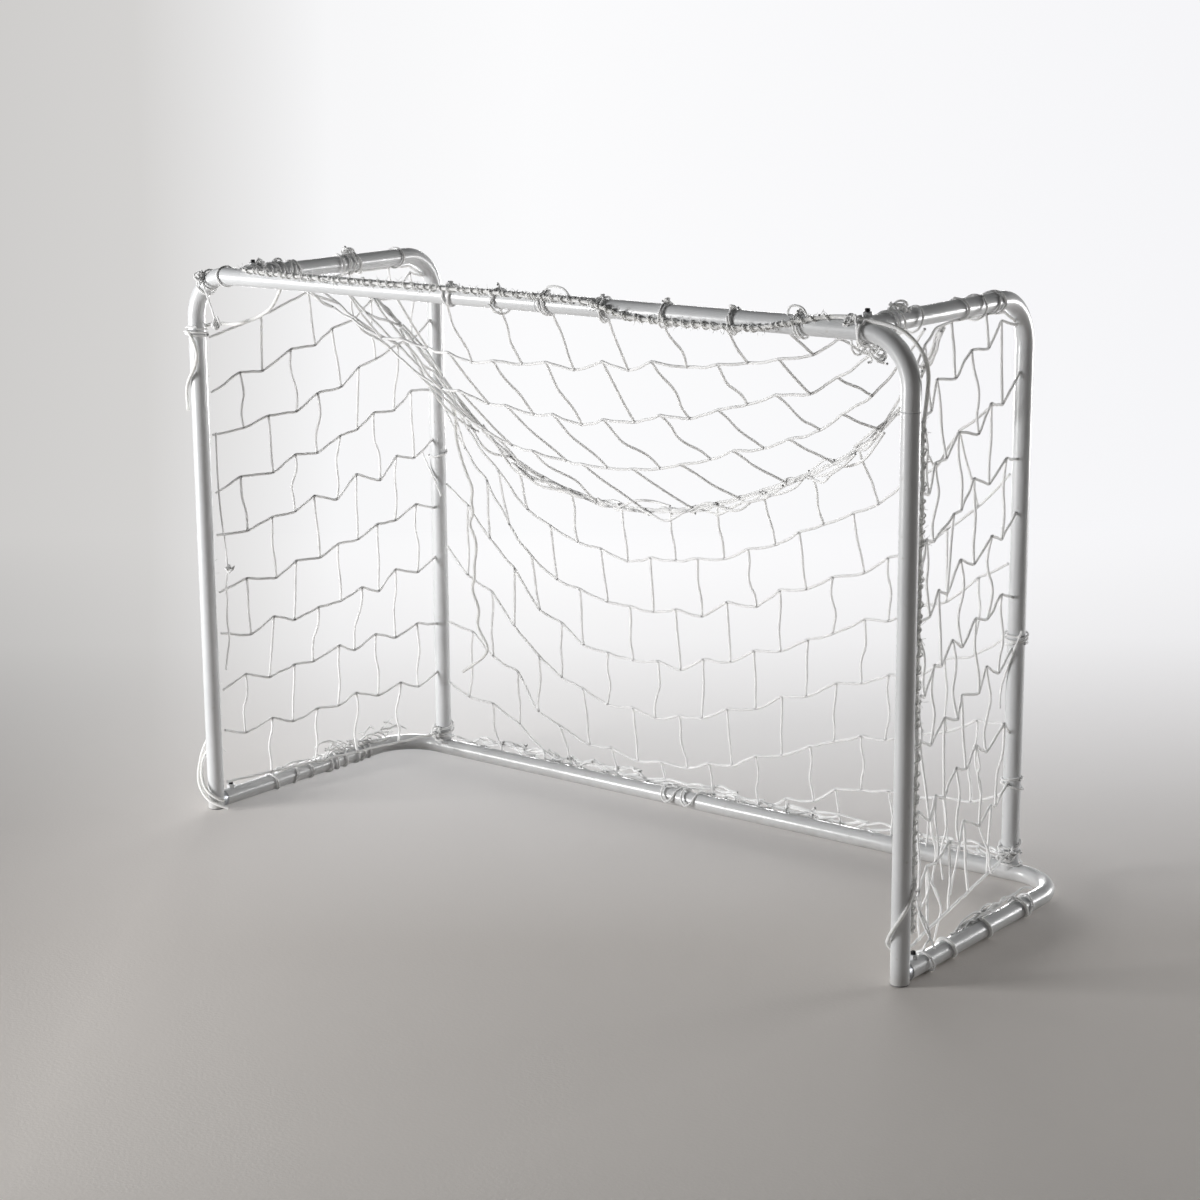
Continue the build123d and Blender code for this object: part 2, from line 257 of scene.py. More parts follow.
# Spigots. Zinc-plated steel sleeve, welded to the crossbar, the posts and the rear bar, that
# the arms, the rails and the rear posts slide over.
def zinc_plate():
    """Dull bluish zinc with a fine mottle in its tone, gloss and relief."""
    material, tree, shader, where = new_material("zinc_plate", (0.55, 0.57, 0.6), 0.38)
    shader.inputs["Metallic"].default_value = 1
    spangle = noise(tree, where.outputs["Object"], 300, 5)
    tree.links.new(ramp(tree, spangle, (0.3, 0.28), (0.7, 0.5)), shader.inputs["Roughness"])
    blush = ramp(tree, spangle, (0.3, (0.45, 0.47, 0.5)), (0.7, (0.62, 0.64, 0.67)))
    tree.links.new(blush, shader.inputs["Base Color"])
    bump(tree, shader, spangle, 0.00005)
    return material


zinc = zinc_plate()
for part in ("arm_spigot", "rail_spigot", "foot_spigot"):
    for hand in ("left", "right"):
        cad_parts[f"{part}_{hand}"].data.materials[0] = zinc


# Clamp screws in welded nuts. Black-oxide M8 set screws, each in a hexagon nut that is welded
# on top of an arm or rail and painted over with it.
def black_oxide():
    """Blackened steel, oily, with bare metal on its high spots."""
    material, tree, shader, where = new_material("black_oxide", (0.02, 0.02, 0.022), 0.42)
    shader.inputs["Metallic"].default_value = 0.6
    wear = noise(tree, where.outputs["Object"], 900, 6)
    worn = ramp(tree, wear, (0.55, (0.018, 0.018, 0.02)), (0.72, (0.12, 0.12, 0.12)))
    tree.links.new(worn, shader.inputs["Base Color"])
    tree.links.new(ramp(tree, wear, (0.3, 0.32), (0.7, 0.6)), shader.inputs["Roughness"])
    bump(tree, shader, wear, 0.00008)
    return material


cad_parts["clamp_screws"].data.materials[0] = black_oxide()
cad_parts["welded_nuts"].data.materials[0] = enamel


# Foot caps. Grey moulded polyethylene plugs that close the posts and spare the floor.
def moulded_plastic():
    """Matt grey plastic with a fine eroded grain and scuffs."""
    material, tree, shader, where = new_material("moulded_plastic", (0.2, 0.2, 0.2), 0.62)
    grain = noise(tree, where.outputs["Object"], 1400, 2)
    bump(tree, shader, grain, 0.00012)
    scuff = noise(tree, where.outputs["Object"], 160, 8)
    tone = ramp(tree, scuff, (0.45, (0.16, 0.16, 0.165)), (0.7, (0.3, 0.3, 0.3)))
    tree.links.new(tone, shader.inputs["Base Color"])
    return material


cap_plastic = moulded_plastic()
for hand in ("left", "right"):
    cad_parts[f"foot_cap_{hand}"].data.materials[0] = cap_plastic


# Roof net. White braided cord, knotted by hand into a mesh whose bars hang in brick-like
# courses. It is laced to the crossbar and sags to a free back edge that hangs from the arms.
cord_diameter = 0.0048
net_half_width = 0.6127
mesh_columns = 22
down = Vector((0, 0, -1))
back_edge = [
    Vector((-0.6127, 0.037, 0.955)), Vector((-0.5277, 0.1004, 0.825)), Vector((-0.4017, 0.1971, 0.627)),
    Vector((-0.120, 0.2342, 0.551)), Vector((0.2467, 0.1834, 0.655)), Vector((0.4667, 0.1209, 0.783)),
    Vector((0.6127, 0.037, 0.955)),
]


def between(stations, x):
    """Point at a place along X on the smooth line through stations that run from left to right."""
    xs = [station.x for station in stations]
    x = min(max(x, xs[0]), xs[-1])
    slopes = []
    for i in range(len(stations)):
        before, after = stations[max(i - 1, 0)], stations[min(i + 1, len(stations) - 1)]
        slopes.append((after - before) / (after.x - before.x))
    i = max(j for j in range(len(stations) - 1) if xs[j] <= x)
    run = xs[i + 1] - xs[i]
    t = (x - xs[i]) / run
    return (
        stations[i] * (2 * t**3 - 3 * t**2 + 1)
        + slopes[i] * run * (t**3 - 2 * t**2 + t)
        + stations[i + 1] * (3 * t**2 - 2 * t**3)
        + slopes[i + 1] * run * (t**3 - t**2)
    )


def any_way(draw, reach=1.0):
    """Random small step."""
    return Vector([draw.uniform(-reach, reach) for _ in range(3)])


def bar_of_mesh(draw, start, end, sag, wave):
    """Six points of one bar from knot to knot, which sags and waves a little."""
    length = (end - start).length
    sideways = any_way(draw)
    phase = draw.uniform(0, math.pi)
    points = []
    for t in (0, 0.2, 0.4, 0.6, 0.8, 1):
        arch = math.sin(math.pi * t)
        ripple = arch * math.sin(2 * math.pi * t + phase)
        points.append(start.lerp(end, t) + down * sag * length * arch + sideways * wave * length * ripple)
    return points


def turn_of_cord(centre, axis, radius, begin=0.0, sweep=1.0, climb=0.0):
    """Nine points of one turn, or part of a turn, of cord round an axis, which may climb along it."""
    axis = axis.normalized()
    across = axis.orthogonal().normalized()
    step = 2 * math.pi * sweep / 8
    points = []
    for i in range(9):
        reach = radius if i in (0, 8) else radius / math.cos(step / 2)
        swing = Matrix.Rotation(2 * math.pi * begin + i * step, 3, axis)
        points.append(centre + swing @ across * reach + axis * climb * (i / 8 - 0.5))
    return points


def tangle(draw, centre, reach, strands):
    """Loops of cord heaped round a point, as in a large knot, with a crumpled end here and there."""
    lines = []
    for strand in range(strands):
        spot = centre + any_way(draw, reach * 0.5)
        if strand % 3 == 2:
            lines.append([spot + any_way(draw, reach) for _ in range(6)])
        else:
            radius = reach * draw.uniform(0.45, 0.9)
            axis, begin, sweep = any_way(draw), draw.random(), draw.uniform(0.7, 1.2)
            lines.append(turn_of_cord(spot, axis, radius, begin, sweep, climb=reach * 0.5))
    return lines


def knotted_mesh(draw, columns, rows, place, lift, sag, wave, loose):
    """Courses and legs of a net. place(u, v) is a join's place by its shares of the width and the drop."""
    joins = {}
    for row in range(rows + 1):
        for column in range(columns + 1):
            edge = row in (0, rows) or column in (0, columns)
            pull = 0 if row in (0, rows) else lift * (1 if (row + column) % 2 else -1)
            spot = place(column / columns, (row + pull) / rows)
            joins[column, row] = spot if edge else spot + any_way(draw, loose)
    lines = []
    for row in range(rows + 1):
        course = [joins[0, row]]
        for column in range(columns):
            course += bar_of_mesh(draw, joins[column, row], joins[column + 1, row], sag, wave)[1:]
        lines.append(course)
    for (column, row), spot in joins.items():
        if (column + row) % 2 == 0 and 0 < column < columns and row < rows:
            lines.append(bar_of_mesh(draw, spot, joins[column, row + 1], sag / 2, wave * 2))
    return lines


def cord_piece(name, lines, diameter, material, sides=8):
    """Mesh of round cord along lines, with a UV map in metres along the cord and once round it."""
    floor_clearance = diameter / 2
    lines = [[Vector((x, y, max(z, floor_clearance))) for x, y, z in line] for line in lines]
    curve = cord_curve(name, lines, diameter)
    curve.data.bevel_resolution = (sides - 4) // 2
    curve.data.use_fill_caps = False
    graph = bpy.context.evaluated_depsgraph_get()
    mesh = bpy.data.meshes.new_from_object(curve.evaluated_get(graph))
    bpy.data.objects.remove(curve)
    lengths = [sum((b - a).length for a, b in zip(line, line[1:])) for line in lines]
    corners_of_face = 4
    rings = [curve_steps * (len(line) - 1) for line in lines]
    corners = [corners_of_face * sides * (ring - 1) for ring in rings]
    uv = np.zeros(2 * len(mesh.loops), np.float32)
    mesh.uv_layers[0].data.foreach_get("uv", uv)
    uv[0::2] *= np.repeat(np.array(lengths, np.float32), corners)
    mesh.uv_layers[0].data.foreach_set("uv", uv)
    mesh.materials.clear()
    mesh.materials.append(material)
    mesh.shade_smooth()
    piece = bpy.data.objects.new(name, mesh)
    bpy.context.scene.collection.objects.link(piece)
    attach(piece, "root")
    return piece


net_fibre = braided_cord("net_fibre", (0.97, 0.97, 0.96), 260, 0.00001)
roof_courses = 4
head_line = Vector((0, front_y + tube_radius + 0.004, bar_height - 0.008))
roof_lean = 0.07  # share of the width by which the legs lean to the left in the middle
roof_slip = 0.04  # share of the depth by which the middle courses have slipped back


def roof_place(u, v):
    """Point of the roof net, by its shares of the width from the left and of the depth from the front."""
    u -= roof_lean * math.sin(math.pi * u) * math.sin(math.pi * v)
    v += roof_slip * math.sin(math.pi * v)
    x = (2 * u - 1) * net_half_width
    near = head_line + Vector((x, 0, 0))
    return near.lerp(between(back_edge, x), v)


draw = random.Random(11)
roof_lines = knotted_mesh(
    draw, mesh_columns, roof_courses, roof_place, lift=0.05, sag=0.03, wave=0.03, loose=0.005
)
fold_strands = 2  # extra strands to each mesh where the net folds over at the back edge
fold_spread = 0.008
for strand in range(fold_strands):
    for i in range(mesh_columns):
        ends = []
        for column in (i, i + 1 + strand % 2):
            x = (min(column / mesh_columns, 1) * 2 - 1) * net_half_width
            ends.append(between(back_edge, x) + any_way(draw, fold_spread))
        roof_lines.append(bar_of_mesh(draw, *ends, sag=draw.uniform(-0.12, 0.2), wave=0.1))
roof_net = cord_piece("roof_net_cord", roof_lines, cord_diameter, net_fibre)
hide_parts("roof_net")


# Back net. The same cord and mesh. It hangs from the roof's back edge, is tied to the rear
# posts and the rear bar, and what is left over lies on the floor behind the bar.
back_courses = 7
course_drop = 0.098
back_swing = 0.3  # drop in which the net swings back to the rear bar
behind_bar = 0.024  # from the bar's axis to the net on the floor
turn_height = 0.12  # the net starts to pass behind the bar here
turn_drop = 0.07
ripple_depth = 0.008
back_clearance = 0.004
spare_strands = 5  # strands of spare net to each mesh along the floor
floor_line_y = rear_y + behind_bar


def back_place(u, v):
    """Point of the back net, by its shares of the width from the left and of the drop from the top."""
    x = (2 * u - 1) * net_half_width
    top = between(back_edge, x)
    drop = v * back_courses * max(course_drop, top.z / back_courses)
    height = max(top.z - drop, 0)
    swing = 1 - (1 - min(1, drop / back_swing)) ** 2
    past_bar = behind_bar * min(1, max(0, (turn_height - height) / turn_drop))
    spare = max(drop - top.z, 0)
    y = top.y + (rear_y - top.y) * swing + past_bar + ripple_depth * math.sin(spare * 60)
    return Vector((x, y, height + back_clearance + 0.1 * spare))


draw = random.Random(12)
back_lines = knotted_mesh(
    draw, mesh_columns, back_courses, back_place, lift=0.05, sag=0.03, wave=0.03, loose=0.005
)
for strand in range(spare_strands):
    for i in range(mesh_columns):
        ends = []
        for column in (i, i + 1 + strand % 2):
            x = (min(column / mesh_columns, 1) * 2 - 1) * net_half_width
            y = floor_line_y + draw.uniform(-0.006, 0.008)
            ends.append(Vector((x, y, 0.006 + draw.uniform(0, 0.036))))
        back_lines.append(bar_of_mesh(draw, *ends, sag=0.0, wave=0.12))
back_net = cord_piece("back_net_cord", back_lines, cord_diameter, net_fibre)
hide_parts("back_net")


# Side nets. The same cord and mesh, laced to the arm above and drawn down to the rail, with
# courses that climb towards the rear post and are bunched where they reach the arm.
side_columns = 10
side_courses = 9
side_front_x = 0.7303
side_front_y = -0.236
side_rear_y = 0.2447
side_hitch_height = 0.87  # the upper edge is hitched to the post here and climbs to the arm
side_rear_high = 1.08  # courses climb to the rear as if they ended here; the arm cuts them short
side_low = 0.045
side_lean = 0.06  # share of the depth by which the upper legs lean to the front
arm_under = bar_height - tube_radius - 0.002
arm_bend = 0.08
bend_inside = 0.062  # the net's reach from the middle of the arm's bend


def side_place(side, u, v):
    """Point of a side net, by its shares of the depth from the front and of the drop from the top."""
    u -= side_lean * math.sin(math.pi * u) * max(0, 1 - v * side_courses / 2)
    y = side_front_y + (side_rear_y - side_front_y) * u
    slack = max(0, 1 - 2 * u) ** 2
    top_x = arm_x + (side_front_x - arm_x) * slack
    top = Vector((top_x, y, arm_under + (side_hitch_height - arm_under) * slack))
    foot = Vector((side_front_x + (arm_x - side_front_x) * u, y, side_low))
    course = side_hitch_height + (side_rear_high - side_hitch_height) * u
    height = course + (side_low - course) * v
    share = max(0, (top.z - height) / (top.z - foot.z))
    spot = top.lerp(foot, share)
    bend = Vector((spot.x, rear_y - arm_bend, bar_height - arm_bend))
    reach = spot - bend
    if reach.y > 0 and reach.z > 0 and reach.length > bend_inside:
        spot = bend + reach.normalized() * bend_inside
    spot.x *= side
    return spot


side_lines = {}
for hand, side, lift in (("left", -1, 0.08), ("right", 1, 0.12)):
    draw = random.Random(13 + side)
    lines = knotted_mesh(
        draw, side_columns, side_courses, lambda u, v: side_place(side, u, v),
        lift, sag=0.01, wave=0.03, loose=0.007,
    )
    side_lines[hand] = lines
    side_net = cord_piece(f"side_net_cord_{hand}", lines, cord_diameter, net_fibre)
    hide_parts(f"side_net_{hand}")


# Edge ropes. A head rope along the crossbar and a rope down each post: soft white cord with
# the edge of the net whipped round it in a tight spiral.
rope_diameter = 0.0085
whipping_diameter = 0.0028
whipping_pitch = 0.015
fibre_diameter = 0.0009
fibre_reach = 0.011
rope_off_axis = tube_radius + 0.004
head_rope_steps = 80
post_rope_top = 0.86
post_rope_length = 0.78
post_rope_steps = 48
head_rope_winding = [  # place along X, and degrees from the top of the bar towards the front
    (-0.60, 40), (-0.45, 52), (0.15, 58), (0.235, 112), (0.30, 122), (0.46, 118), (0.53, 80), (0.60, 25),
]


def whipped_rope(name, draw, path, node):
    """Rope along closely spaced points, the spiral of cord whipped round it, and its loose fibres."""
    core = [path[i:i + 9] for i in range(0, len(path) - 8, 8)]
    rope = cord_piece(name, core, rope_diameter * 0.7, rope_fibre)
    spiral = []
    for here, there in zip(path, path[1:]):
        turns = max(1, round((there - here).length / whipping_pitch))
        for i in range(turns):
            centre = here.lerp(there, (i + 0.5) / turns)
            climb = (there - here).length / turns
            swell = rope_diameter * draw.uniform(0.45, 0.68)
            spiral.append(turn_of_cord(centre, there - here, swell, draw.random(), 1.0, climb))
    whipping = cord_piece(name + "_whipping", spiral, whipping_diameter, rope_fibre)
    fibres = []
    for i in range(6 * len(path)):
        root = draw.choice(path) + any_way(draw, rope_diameter * 0.4)
        tip = any_way(draw, fibre_reach)
        fibres.append([root, root + tip * 0.6 + any_way(draw, 0.002), root + tip])
    fuzz = cord_piece(name + "_fuzz", fibres, fibre_diameter, rope_fibre, sides=4)
    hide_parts(node)


def head_rope_path():
    """Points of the head rope, a turn of whipping apart, as it winds round the crossbar."""
    stations = [Vector((x, math.radians(angle), 0)) for x, angle in head_rope_winding]
    points = []
    for i in range(head_rope_steps + 1):
        x = head_rope_winding[0][0] + whipping_pitch * i
        angle = between(stations, x).y
        y = front_y - rope_off_axis * math.sin(angle)
        points.append(Vector((x, y, bar_height + rope_off_axis * math.cos(angle))))
    return points


whipped_rope("head_rope_cord", random.Random(21), head_rope_path(), "head_rope")
for hand, side in (("left", -1), ("right", 1)):
    draw = random.Random(22)
    along = Vector((side * 0.5, 0.87, 0)) * (rope_off_axis + 0.001)
    path = []
    for i in range(post_rope_steps + 1):
        height = post_rope_top - post_rope_length * i / post_rope_steps
        path.append(Vector((side * post_x, front_y, height)) + along + any_way(draw, 0.0015))
    whipped_rope(f"post_rope_cord_{hand}", draw, path, f"post_rope_{hand}")


# Lacing. Turns of the same cord that tie the net's edges to the tubes, some drawn tight and
# some left slack, with the large knots where a length ends.
lacing_diameter = 0.0038
lacing_seat = 0.0025  # from the tube to the middle of a tight turn
hang_from = 0.003  # a turn slacker than this hangs down from the tube
along_bar = Vector((1, 0, 0))
along_arm = Vector((0, 1, 0))
upright = Vector((0, 0, 1))


def lacing(name, seed, ties, heaps=(), strands=()):
    """Ties, heaped knots and loose strands as one piece.

    Ties are (point on a tube's axis, axis, turns, spread, slack), heaps (point, reach, strands).
    """
    draw = random.Random(seed)
    lines = [list(strand) for strand in strands]
    for centre, axis, turns, spread, slack in ties:
        for turn in range(turns):
            spot = centre + axis * spread * (turn / max(turns - 1, 1) - 0.5)
            radius = tube_radius + lacing_seat + slack * draw.random()
            tilt = axis + any_way(draw, 0.3)
            droop = down * max(0, radius - tube_radius - hang_from)
            lines.append(turn_of_cord(spot + droop, tilt, radius, draw.random(), 1.0, climb=0.004))
    for centre, reach, count in heaps:
        lines += tangle(draw, centre, reach, count)
    piece = cord_piece(name, lines, lacing_diameter, net_fibre)


bar_ties = []
bar_heaps = []
for x in (-0.135, -0.034, 0.065, 0.179, 0.300, 0.426, 0.545):
    bar_ties.append((Vector((x, front_y, bar_height)), along_bar, 2, 0.006, 0.003))
    bar_heaps.append((Vector((x, front_y - 0.002, bar_height + 0.019)), 0.006, 2))
loops_on_bar = []
for x, width in ((0.065, 0.05), (0.525, 0.034)):
    low = Vector((x, front_y - 0.006, bar_height + 0.014))
    loops_on_bar.append([
        low, low + Vector((0, 0, 0.012)), low + Vector((width * 0.4, 0, 0.016)),
        low + Vector((width * 0.9, 0, 0.011)), low + Vector((width, 0, -0.002)),
    ])
lacing("crossbar_lacing", 31, bar_ties, bar_heaps, loops_on_bar)

arm_wraps = {  # place along Y, and turns
    "left": (
        (-0.215, 3), (-0.19, 3), (-0.165, 3), (-0.145, 2), (-0.12, 2), (0.005, 2), (0.035, 3), (0.158, 1),
    ),
    "right": ((-0.155, 2), (-0.08, 1), (0.052, 1), (0.103, 1), (0.15, 2)),
}
arm_knots = {  # place along Y, reach, and strands
    "left": ((-0.2, 0.009, 5), (-0.16, 0.008, 4), (0.03, 0.013, 5)),
    "right": ((-0.135, 0.012, 7), (-0.115, 0.009, 4)),
}
for hand, side in (("left", -1), ("right", 1)):
    ties = []
    for y, turns in arm_wraps[hand]:
        ties.append((Vector((side * arm_x, y, bar_height)), along_arm, turns, 0.016, 0.003))
    heaps = []
    for y, reach, count in arm_knots[hand]:
        heaps.append((Vector((side * arm_x, y, bar_height + 0.017)), reach, count))
    lacing(f"arm_lacing_{hand}", 32, ties, heaps)

rail_bend = 0.085


def on_rail(side, y):
    """Point on the axis of a floor rail, which runs straight back and then bends into the rear bar."""
    turned = math.asin(min(1, max(0, (y - rear_y + rail_bend) / rail_bend)))
    return Vector((side * (post_x - rail_bend * (1 - math.cos(turned))), y, base_height))


rail_wraps = {  # places along Y
    "left": (-0.11, -0.055, -0.02, 0.03, 0.055, 0.075, 0.11, 0.13, 0.15),
    "right": (-0.185, 0.13),
}
for hand, side in (("left", -1), ("right", 1)):
    draw = random.Random(33 + side)
    ties = [(on_rail(side, y), along_arm, 1, 0.01, 0.004) for y in rail_wraps[hand]]
    strands = []
    for i in range(14):
        start = on_rail(side, draw.uniform(-0.12, 0.12))
        start += Vector((-side * draw.uniform(0, 0.014), 0, tube_radius))
        end = start + Vector((0, draw.uniform(0.04, 0.11), draw.uniform(-0.006, 0.01)))
        strands.append(bar_of_mesh(draw, start, end, sag=draw.uniform(-0.2, 0), wave=0.1))
    lacing(f"rail_lacing_{hand}", 34, ties, (), strands)


# Corner knots and slack ends. The net's top edge is gathered at both front corners, where the
# ropes of the post and the crossbar meet and are tied off round the bend.
corner_rope_diameter = 0.0065


def slack_rope(name, routes, diameter):
    """Lengths of rope that lie as they were left."""
    piece = cord_piece(name, routes, diameter, rope_fibre)


def points(*places):
    return [Vector(place) for place in places]


sagging_rope = points(
    (-0.751, -0.255, 0.885), (-0.735, -0.238, 0.890), (-0.715, -0.232, 0.897), (-0.678, -0.230, 0.895),
    (-0.632, -0.230, 0.905), (-0.587, -0.230, 0.924), (-0.567, -0.230, 0.943), (-0.551, -0.232, 0.968),
)
rope_down_post = points(
    (-0.735, -0.281, 0.885), (-0.722, -0.281, 0.868), (-0.716, -0.278, 0.845), (-0.722, -0.281, 0.820),
    (-0.742, -0.281, 0.795), (-0.755, -0.272, 0.769), (-0.757, -0.268, 0.741),
)
corner_strand = points(
    (-0.701, -0.279, 0.984), (-0.690, -0.281, 0.966), (-0.681, -0.281, 0.947), (-0.672, -0.280, 0.925),
    (-0.668, -0.278, 0.904), (-0.672, -0.26, 0.898),
)
slack_rope("corner_rope_left", [sagging_rope, rope_down_post], corner_rope_diameter)
stand_off = points(
    (0.600, -0.268, 1.002), (0.631, -0.268, 1.005), (0.660, -0.266, 1.001), (0.691, -0.264, 0.998),
    (0.722, -0.262, 0.990), (0.745, -0.256, 0.968), (0.756, -0.248, 0.938), (0.752, -0.243, 0.900),
    (0.7455, -0.2417, 0.855),
)
slack_rope("corner_rope_right", [stand_off], corner_rope_diameter)
lacing(
    "corner_knots", 35,
    [
        (Vector((-post_x, front_y, 0.884)), upright, 3, 0.01, 0.004),
        (Vector((-0.700, front_y, bar_height - 0.012)), Vector((1, 0, 0.6)), 2, 0.012, 0.005),
        (Vector((-0.655, front_y, bar_height)), along_bar, 1, 0.0, 0.003),
        (Vector((0.652, front_y, bar_height)), along_bar, 2, 0.012, 0.003),
    ],
    [
        (Vector((-0.701, -0.279, 0.985)), 0.010, 6),
        (Vector((-0.668, -0.277, 0.904)), 0.009, 6),
        (Vector((0.636, -0.268, 1.000)), 0.010, 7),
        (Vector((0.645, -0.236, 0.962)), 0.020, 9),
        (Vector((0.662, -0.232, 0.945)), 0.014, 5),
    ],
    [corner_strand],
)


# Loose strands. Broken and untied lengths of the net's cord that hang at the posts and lie in
# loops on the rails, and the turns that hold the net to the feet of the posts.
foot_rope_diameter = 0.006
strand_rest_height = 0.006  # middle of a strand whose end lies on the floor
joins_apart = 5  # points of a course from one knot to the next
loose_at_post = points(
    (-0.717, -0.241, 0.70), (-0.719, -0.240, 0.614), (-0.713, -0.240, 0.541), (-0.704, -0.240, 0.492),
    (-0.702, -0.240, 0.450), (-0.709, -0.240, 0.420), (-0.705, -0.240, 0.394), (-0.712, -0.238, 0.355),
    (-0.705, -0.238, 0.320), (-0.716, -0.236, 0.290), (-0.721, -0.236, 0.261),
)
rear_right_strand = points(
    (0.650, 0.245, 0.437), (0.639, 0.242, 0.405), (0.626, 0.243, 0.37), (0.612, 0.244, 0.328),
    (0.614, 0.244, 0.30),
)
rear_left_strand = points(
    (-0.655, 0.241, 0.602), (-0.640, 0.240, 0.575), (-0.622, 0.241, 0.548), (-0.610, 0.242, 0.522),
)
left_foot_ropes = [
    points(
        (-0.745, -0.244, 0.150), (-0.757, -0.255, 0.130), (-0.766, -0.266, 0.095), (-0.763, -0.279, 0.055),
        (-0.745, -0.284, 0.030), (-0.722, -0.280, 0.014), (-0.702, -0.262, 0.006),
    ),
    points(
        (-0.748, -0.243, 0.125), (-0.758, -0.262, 0.104), (-0.757, -0.276, 0.072), (-0.741, -0.284, 0.043),
        (-0.722, -0.278, 0.026), (-0.712, -0.262, 0.018),
    ),
]
right_foot_ropes = [
    points(
        (0.751, -0.246, 0.160), (0.752, -0.266, 0.128), (0.741, -0.280, 0.104), (0.725, -0.280, 0.078),
        (0.715, -0.266, 0.058), (0.719, -0.248, 0.046),
    ),
]
slack_rope("post_foot_ropes", left_foot_ropes + right_foot_ropes, foot_rope_diameter)
rail_ropes = []
for y in (-0.121, -0.010, 0.106):
    askew = Vector((0.2, 1, 0.15))
    radius = tube_radius + 0.003
    rail_ropes.append(turn_of_cord(on_rail(1, y), askew, radius, begin=0.6, sweep=1.1, climb=0.012))
slack_rope("rail_ropes_right", rail_ropes, foot_rope_diameter)
draw = random.Random(36)
dangling = []
for i in range(12):
    course = side_lines["right"][draw.choice((7, 8))]
    start = course[joins_apart * draw.randint(1, 7)]
    end = start + Vector((draw.uniform(-0.02, 0.02), draw.uniform(-0.03, 0.03), -draw.uniform(0.05, 0.14)))
    end.z = max(end.z, strand_rest_height)
    dangling.append(bar_of_mesh(draw, start, end, sag=0.0, wave=0.12))
for i in range(22):
    start = on_rail(-1, draw.uniform(-0.02, 0.2))
    start += Vector((draw.uniform(0.0, 0.03), 0, draw.uniform(0.015, 0.05)))
    end = start + Vector((draw.uniform(-0.02, 0.02), draw.uniform(0.02, 0.05), draw.uniform(-0.02, 0.01)))
    end.z = max(end.z, strand_rest_height)
    dangling.append(bar_of_mesh(draw, start, end, sag=draw.uniform(-0.3, 0.1), wave=0.15))
hooks = []
for x in (-0.089, -0.044):
    axis = Vector((x, rear_y, base_height))
    hooks.append([
        axis + step for step in points(
            (0, 0.02, 0.012), (0, 0.006, 0.021), (0.002, -0.014, 0.017), (0.006, -0.022, 0.004),
            (0.016, -0.025, -0.006), (0.028, -0.021, 0.0), (0.031, -0.006, 0.019), (0.032, 0.018, 0.014),
        )
    ])
lacing(
    "loose_strands", 37,
    [
        (Vector((arm_x, rear_y, 0.42)), upright, 3, 0.016, 0.002),
        (Vector((arm_x, rear_y, 0.173)), upright, 2, 0.012, 0.004),
        (Vector((arm_x, rear_y, 0.05)), upright, 3, 0.03, 0.005),
        (Vector((-arm_x, rear_y, 0.045)), upright, 4, 0.03, 0.005),
        (Vector((-arm_x, rear_y, 0.60)), upright, 1, 0.0, 0.002),
    ],
    [
        (Vector((-arm_x, rear_y - 0.018, 0.045)), 0.013, 7),
        (Vector((arm_x, rear_y - 0.016, 0.05)), 0.014, 7),
        (Vector((-0.700, -0.240, 0.453)), 0.007, 4),
    ],
    [loose_at_post, rear_right_strand, rear_left_strand, *dangling, *hooks],
)


# Studio. A pale matt floor that brightens away from the camera and fades into a white wall, a
# soft lamp low at the left front, two more behind, and little light from above or the front.
# The floor's colour carries painted light falloff and painted shade at the left, and the wall
# is painted greyer towards the left as shade.
floor_reach = 14.0
floor_mesh = bmesh.new()
bmesh.ops.create_circle(floor_mesh, cap_ends=True, segments=64, radius=floor_reach)
floor_data = bpy.data.meshes.new("floor")
floor_mesh.to_mesh(floor_data)
floor_mesh.free()
floor = bpy.data.objects.new("floor", floor_data)
bpy.context.scene.collection.objects.link(floor)
floor_paint, tree, shader, where = new_material("floor_paper", (0.5, 0.5, 0.5), 0.9)


def wall_tone(tree, bearing):
    """White of the wall by the bearing from the camera, with painted shade that makes it greyer towards
    the left.
    """
    across = tree.nodes.new("ShaderNodeVectorMath")
    across.operation = "DOT_PRODUCT"
    tree.links.new(bearing, across.inputs[0])
    across.inputs[1].default_value = level_right
    share = math_node(tree, "MULTIPLY_ADD", across.outputs["Value"], 2.0, 0.5)
    return ramp(
        tree, share, (0.0, (0.60, 0.59, 0.58)), (0.16, (0.66, 0.65, 0.64)), (0.3, (0.93, 0.93, 0.94)),
        (0.45, (0.97, 0.97, 0.98)), (0.95, (0.92, 0.92, 0.94)),
    )


def floor_distance(direction, near, far):
    """0 to 1 as the floor runs from near to far, in metres along a level direction."""
    along = tree.nodes.new("ShaderNodeVectorMath")
    along.operation = "DOT_PRODUCT"
    tree.links.new(where.outputs["Object"], along.inputs[0])
    along.inputs[1].default_value = direction
    away = math_node(tree, "SUBTRACT", along.outputs["Value"], near)
    return math_node(tree, "DIVIDE", away, far - near)


away = floor_distance((-0.615, 0.789, 0), -3.0, 6.0)
# Floor tone with painted light falloff: coloured bright and warm near the camera and greyer further off.
floor_tone_with_painted_falloff = ramp(
    tree, away, (0.0, (0.98, 0.93, 0.88)), (0.2, (0.97, 0.92, 0.87)), (0.35, (0.78, 0.735, 0.70)),
    (0.5, (0.80, 0.765, 0.74)),
)
side_share = floor_distance((0.789, 0.615, 0), -1.6, 1.2)
